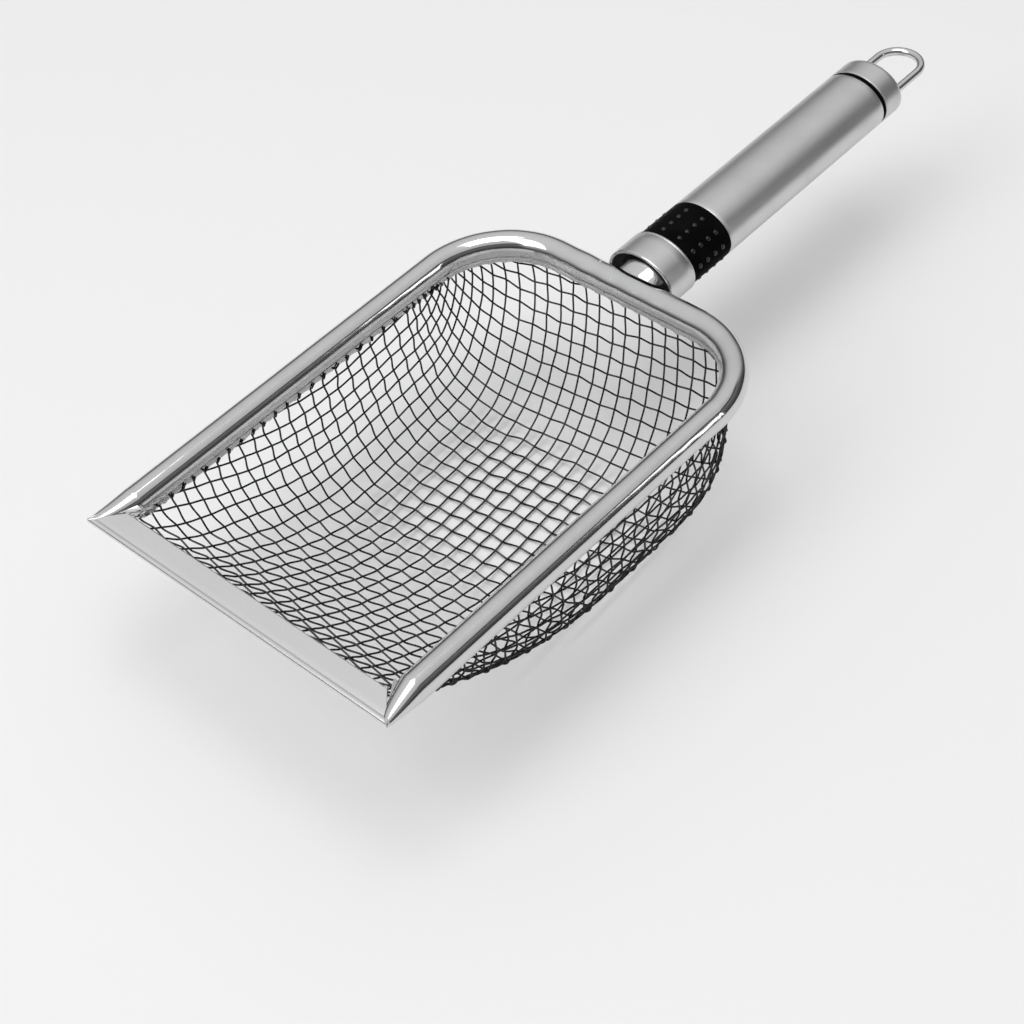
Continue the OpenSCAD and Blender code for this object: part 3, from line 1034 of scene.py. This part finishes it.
class SCOOP_OT_neck(bpy.types.Operator):
    """Bends the arched neck plate that carries the head"""

    bl_idname = "scoop.neck"
    bl_label = "Neck Plate"

    def execute(self, context):
        half = size_mm("neck_plate", 0) / 2 + 0.6
        thick = 1.5
        curl = 0.94
        base = -DROP - 1
        start, end = BACK_Y + 1.0, from_front("neck_plate", 1)
        rings = []
        for y in np.linspace(start, end, 40):
            k = (y - start) / (end - start)
            rise = 5.6 + 2.9 * min(1.0, k / 0.42) ** 1.3
            w = half - 1.2 * math.sin(math.pi * min(1, k * 1.6)) ** 2
            top, under = [], []
            for s in np.linspace(-1, 1, 41):
                bow = math.sqrt(max(0.0, 1 - curl * s * s))
                x = w * s
                z = base + rise * bow
                n = np.array([s * curl * rise / w / max(bow, 0.24), 1.0])
                n /= np.linalg.norm(n)
                round_off = thick * 0.5 * math.sqrt(max(0.0, 1 - max(0, (abs(s) - 0.94) / 0.06) ** 2))
                top.append((x + n[0] * (round_off - thick / 2), y, z + n[1] * (round_off - thick / 2)))
                under.append((x - n[0] * (round_off + thick / 2), y, z - n[1] * (round_off + thick / 2)))
            rings.append(top + under[::-1])
        piece = loft("neck_plate_arched", rings, sharp=50)
        dress(piece, polished_steel())
        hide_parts("neck_plate")
        return {"FINISHED"}


class SCOOP_OT_ferrule(bpy.types.Operator):
    """Turns the ferrule: an oval sleeve with a thick rolled front edge"""

    bl_idname = "scoop.ferrule"
    bl_label = "Ferrule"

    def execute(self, context):
        out = -FERRULE_STEP
        wall = 0.9
        roll = 0.62
        profile = arc(FERRULE_Y + roll, out + roll, roll, 90, 270, 11)
        profile += [(FERRULE_Y + 1.6, out + 2 * roll), (FERRULE_Y + 2.4, out + wall), (GRIP_Y, out + wall)]
        profile += [(GRIP_Y, out + 0.35), (GRIP_Y - 0.12, out + 0.12), (GRIP_Y - 0.4, out)]
        profile += [(GRIP_Y - 0.85, out), (GRIP_Y - 1.0, out + 0.07), (GRIP_Y - 1.15, out)]
        profile += [(GRIP_Y - 4, out), (FERRULE_Y + 5, out), (FERRULE_Y + 2.2, out)]
        profile += [(FERRULE_Y + 1.5, out + 0.02)]
        piece = oval_shell("ferrule_sleeve", profile, sharp=30)
        dress(piece, satin_steel())
        whole = arc(FERRULE_Y + roll, out + roll, roll - 0.001, 20, 380, 25)[:-1]
        edge = oval_shell("ferrule_edge", whole, sharp=60)
        dress(edge, polished_steel())
        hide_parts("ferrule")
        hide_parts("ferrule")
        return {"FINISHED"}


class SCOOP_OT_grip(bpy.types.Operator):
    """Moulds the rubber grip ring and sets its rows of bumps"""

    bl_idname = "scoop.grip"
    bl_label = "Grip Ring"

    def execute(self, context):
        sizes = context.scene.scoop_sizes
        end = TUBE_Y
        profile = [(GRIP_Y, 2.6), (GRIP_Y, 0.35), (GRIP_Y + 0.1, 0.1), (GRIP_Y + 0.35, 0.0)]
        profile += [(y, 0.0) for y in np.linspace(GRIP_Y + 1, end - 1, 9)]
        profile += [(end - 0.35, 0.0), (end - 0.1, 0.1), (end, 0.35), (end, 2.6)]
        ring = oval_shell("grip_ring_rubber", profile)
        dress(ring, rubber())
        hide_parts("grip_ring")
        rows, per_row = 12, 4
        step = (TUBE_Y - GRIP_Y) / (per_row + 1)
        points, facing = [], []
        for k in range(rows):
            a = math.radians(10 + 360 * k / rows)
            way = np.array([math.cos(a) / TUBE_W, 0, math.sin(a) / TUBE_H])
            way /= np.linalg.norm(way)
            for j in range(1, per_row + 1):
                points.append((TUBE_W / 2 * math.cos(a), GRIP_Y + step * j - 0.4,
                               TUBE_H / 2 * math.sin(a) - DROP))
                facing.append(tuple(way))
        mesh = bpy.data.meshes.new("grip_bumps_domes")
        mesh.from_pydata([tuple(p) for p in to_row(points)], [], [])
        stored = mesh.attributes.new("facing", "FLOAT_VECTOR", "POINT")
        stored.data.foreach_set("vector", np.array(facing, float).ravel())
        domes = bpy.data.objects.new("grip_bumps_domes", mesh)
        context.scene.collection.objects.link(domes)
        glossy = rubber("black_rubber_bumps", 1.5)
        run_tree(domes, bump_tree(), {"Diameter": sizes.bump_d, "Height": sizes.bump_h,
                                      "Finish": glossy})
        dress(domes, glossy)
        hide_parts("grip_bumps")
        return {"FINISHED"}


class SCOOP_OT_tube(bpy.types.Operator):
    """Draws the satin handle tube"""

    bl_idname = "scoop.tube"
    bl_label = "Handle Tube"

    def execute(self, context):
        start, end, wall = TUBE_Y, TUBE_END, 0.9
        profile = [(start, wall), (start, 0.22), (start + 0.07, 0.06), (start + 0.25, 0.0)]
        profile += [(y, 0.0) for y in np.linspace(start + 2, end - 2, 24)]
        profile += [(end - 0.25, 0.0), (end - 0.07, 0.06), (end, 0.22), (end, wall)]
        piece = oval_shell("handle_tube_satin", profile)
        dress(piece, satin_steel())
        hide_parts("handle_tube")
        return {"FINISHED"}


class SCOOP_OT_gasket(bpy.types.Operator):
    """Moulds the recessed gasket with its two fine lips"""

    bl_idname = "scoop.gasket"
    bl_label = "Gasket"

    def execute(self, context):
        start, end = TUBE_END, CAP_Y
        mid = (start + end) / 2
        profile = [(start, 3.0), (start, 0.5), (start + 0.12, 0.28), (start + 0.3, 0.3), (mid - 0.12, 0.75)]
        profile += [(mid + 0.12, 0.75), (end - 0.3, 0.3), (end - 0.12, 0.28), (end, 0.5), (end, 3.0)]
        piece = oval_shell("gasket_lips", profile, sharp=50)
        dress(piece, rubber())
        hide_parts("gasket")
        return {"FINISHED"}


class SCOOP_OT_cap(bpy.types.Operator):
    """Draws the end cap with its rounded shoulder"""

    bl_idname = "scoop.cap"
    bl_label = "End Cap"

    def execute(self, context):
        shoulder_r, wall = 2.6, 1.2
        disc_in, seal_in = 9.9, 9.6  # insets where the drawn end stops and where its middle starts
        profile = [(CAP_Y, wall), (CAP_Y, 0.28), (CAP_Y + 0.08, 0.08), (CAP_Y + 0.3, 0.0)]
        profile += [(y, 0.0) for y in np.linspace(CAP_Y + 0.8, CAP_END - shoulder_r - 0.3, 7)]
        profile += arc(CAP_END - shoulder_r, shoulder_r, shoulder_r, 90, 0, 14)
        profile += [(CAP_END, inset) for inset in (4.5, 6.5, 8.5, disc_in)]
        inner = [(CAP_END - wall, inset) for inset in (disc_in, 6, 3.4)] + [(CAP_END - shoulder_r, 2.0)]
        rings = [oval_ring(y, i) for y, i in profile] + [oval_ring(y, i) for y, i in inner]
        piece = loft("end_cap_drawn", rings, closed=True, sharp=30)
        dress(piece, satin_steel())
        seal = loft("end_cap_middle", [oval_ring(CAP_END - wall, seal_in), oval_ring(CAP_END - 0.02, seal_in),
                                       oval_ring(CAP_END - 0.001, 9.7)], sharp=30)
        dress(seal, satin_steel())
        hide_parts("end_cap")
        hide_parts("end_cap")
        return {"FINISHED"}


class SCOOP_OT_loop(bpy.types.Operator):
    """Bends the hanging loop from round wire"""

    bl_idname = "scoop.loop"
    bl_label = "Hanging Loop"

    def execute(self, context):
        leg = (LOOP_W - LOOP_D) / 2
        arc_y = LOOP_END - LOOP_W / 2
        start = from_front("hanging_loop", 0)
        line = [(-leg, y, -DROP) for y in np.linspace(start, arc_y, 14)]
        for a in np.linspace(math.pi, 0, 49)[1:]:
            line.append((leg * math.cos(a), arc_y + leg * math.sin(a), -DROP))
        line += [(leg, y, -DROP) for y in np.linspace(arc_y, start, 14)[1:]]
        piece = path_object("hanging_loop_wire", [(line, [(0, 0, 0)] * len(line))])
        material = polished_steel()
        run_tree(piece, wire_tree(), {"Diameter": LOOP_D * MM, "Crimp": 0.0,
                                      "Sides": LOOP_SIDES, "Finish": material})
        piece.data.set_sharp_from_angle(angle=math.radians(40))
        dress(piece, material)
        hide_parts("hanging_loop")
        return {"FINISHED"}


class SCOOP_OT_plugs(bpy.types.Operator):
    """Gives the two inner plugs their plastic"""

    bl_idname = "scoop.plugs"
    bl_label = "Inner Plugs"

    def execute(self, context):
        material = grey_plastic()
        for node in ("front_plug", "rear_plug"):
            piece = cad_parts[node]
            if not piece.material_slots:
                raise RuntimeError(node + " has no material slot")
            for slot in piece.material_slots:
                slot.material = material
        return {"FINISHED"}


class SCOOP_OT_stage(bpy.types.Operator):
    """Sets the pale floor, the soft studio light and the camera"""

    bl_idname = "scoop.stage"
    bl_label = "Stage"

    def execute(self, context):
        self.floor()
        self.world()
        self.lights()
        self.camera()
        return {"FINISHED"}

    def floor(self):
        mesh = bpy.data.meshes.new("studio_floor")
        reach, level = 6.0, -0.0004
        corners = [(x * reach, y * reach, level) for x, y in ((-1, -1), (1, -1), (1, 1), (-1, 1))]
        mesh.from_pydata(corners, [], [(0, 1, 2, 3)])
        floor = bpy.data.objects.new("studio_floor", mesh)
        bpy.context.scene.collection.objects.link(floor)
        material, _, shader, _ = start_material("pale_floor")
        shader.inputs["Base Color"].default_value = (0.9, 0.9, 0.9, 1)
        shader.inputs["Roughness"].default_value = 0.9
        shader.inputs["Specular IOR Level"].default_value = 0.1
        floor.data.materials.append(material)

    def world(self):
        world = bpy.data.worlds.new("studio_light")
        world.use_nodes = True
        tree = world.node_tree
        back = tree.nodes["Background"]
        way = tree.nodes.new("ShaderNodeTexCoord").outputs["Generated"]
        split = tree.nodes.new("ShaderNodeSeparateXYZ")
        tree.links.new(way, split.inputs[0])
        sky = self.ramp(tree, split.outputs["Z"],
                        [(0.0, 0.10), (0.14, 0.09), (0.30, 0.34), (0.46, 0.66), (0.66, 0.80), (0.85, 0.86),
                         (1.0, 0.9)])
        gap = self.ramp(tree, split.outputs["Z"],
                        [(0.0, 0.8), (0.30, 0.30), (0.50, 0.30), (0.575, 0.10), (0.61, 0.10), (0.66, 0.8),
                         (1.0, 1.0)])
        right_side = math_node(tree, "MULTIPLY", split.outputs["X"], 5.0, clamp=True)
        shade = tree.nodes.new("ShaderNodeMix")
        shade.data_type = "RGBA"
        shade.blend_type = "MULTIPLY"
        tree.links.new(right_side, shade.inputs[0])
        tree.links.new(sky, shade.inputs[6])
        tree.links.new(gap, shade.inputs[7])
        tree.links.new(shade.outputs[2], back.inputs["Color"])
        back.inputs["Strength"].default_value = 0.9
        pale = tree.nodes.new("ShaderNodeBackground")
        pale.inputs["Color"].default_value = (0.95, 0.95, 0.95, 1)
        mix = tree.nodes.new("ShaderNodeMixShader")
        ray = tree.nodes.new("ShaderNodeLightPath")
        tree.links.new(ray.outputs["Is Camera Ray"], mix.inputs["Fac"])
        tree.links.new(back.outputs[0], mix.inputs[1])
        tree.links.new(pale.outputs[0], mix.inputs[2])
        tree.links.new(mix.outputs[0], tree.nodes["World Output"].inputs["Surface"])
        bpy.context.scene.world = world

    def ramp(self, tree, value, stops):
        """A grey scale over a value, from (place, grey) pairs."""
        node = tree.nodes.new("ShaderNodeValToRGB")
        tree.links.new(value, node.inputs["Fac"])
        while len(node.color_ramp.elements) < len(stops):
            node.color_ramp.elements.new(0.5)
        for stop, (place, grey) in zip(node.color_ramp.elements, stops):
            stop.position = place
            stop.color = (grey, grey, grey, 1)
        return node.outputs["Color"]

    def lights(self):
        box_shape, strip_shape = 1.4, 9
        spots = (("key_softbox", (-0.3, -1.2, 1.6), 1.0, box_shape, 10.0),
                 ("side_strip", (1.25, 0.80, 0.56), 0.08, strip_shape, 0.42),
                 ("fill_softbox", (0.15, -0.1, 1.9), 0.9, box_shape, 9.0))
        middle = Vector((0, 0, LEVEL))
        for name, place, size, shape, power in spots:
            light = bpy.data.lights.new(name, "AREA")
            light.shape = "RECTANGLE"
            light.size = size
            light.size_y = size * shape
            light.energy = power
            lamp = bpy.data.objects.new(name, light)
            lamp.location = place
            lamp.rotation_euler = (middle - Vector(place)).to_track_quat("-Z", "Y").to_euler()
            bpy.context.scene.collection.objects.link(lamp)

    def camera(self):
        data = bpy.data.cameras.new("studio_camera")
        data.sensor_width = 36.0
        data.lens = 75.6975
        camera = bpy.data.objects.new("studio_camera", data)
        bpy.context.scene.collection.objects.link(camera)
        camera.location = (0.367925, -0.389442, 0.527367)
        right = Vector((0.740080, 0.665559, -0.096505))
        up = Vector((-0.437699, 0.585631, 0.682243))
        away = Vector((0.510589, -0.462675, 0.724728))
        turn = Matrix((right, up, away)).transposed()
        camera.rotation_euler = turn.to_euler()
        data.clip_start = 0.01
        bpy.context.scene.camera = camera
        bpy.context.scene.view_settings.view_transform = "Standard"


class SCOOP_PT_builder(bpy.types.Panel):
    """Lists the builder's steps"""

    bl_idname = "SCOOP_PT_builder"
    bl_label = "Sand Scoop"
    bl_space_type = "VIEW_3D"
    bl_region_type = "UI"
    bl_category = "Sand Scoop"

    def draw(self, context):
        layout = self.layout
        for group in (context.scene.scoop_sizes, context.scene.scoop_finishes):
            box = layout.box()
            for name in group.bl_rna.properties.keys():
                if name not in ("rna_type", "name"):
                    box.prop(group, name)
        for step in STEPS:
            layout.operator(step.bl_idname, text=step.bl_label)


STEPS = (SCOOP_OT_cloth, SCOOP_OT_rim, SCOOP_OT_lip, SCOOP_OT_welds, SCOOP_OT_neck, SCOOP_OT_ferrule,
         SCOOP_OT_grip, SCOOP_OT_tube, SCOOP_OT_gasket, SCOOP_OT_cap, SCOOP_OT_loop, SCOOP_OT_plugs,
         SCOOP_OT_stage)
CLASSES = (SCOOP_PG_sizes, SCOOP_PG_finishes, *STEPS, SCOOP_PT_builder)


def register():
    for item in CLASSES:
        bpy.utils.register_class(item)
    bpy.types.Scene.scoop_sizes = bpy.props.PointerProperty(type=SCOOP_PG_sizes)
    bpy.types.Scene.scoop_finishes = bpy.props.PointerProperty(type=SCOOP_PG_finishes)


def unregister():
    del bpy.types.Scene.scoop_finishes
    del bpy.types.Scene.scoop_sizes
    for item in reversed(CLASSES):
        bpy.utils.unregister_class(item)


def main():
    register()
    for step in STEPS:
        space, name = step.bl_idname.split(".")
        getattr(getattr(bpy.ops, space), name)()


if __name__ == "__main__":
    main()
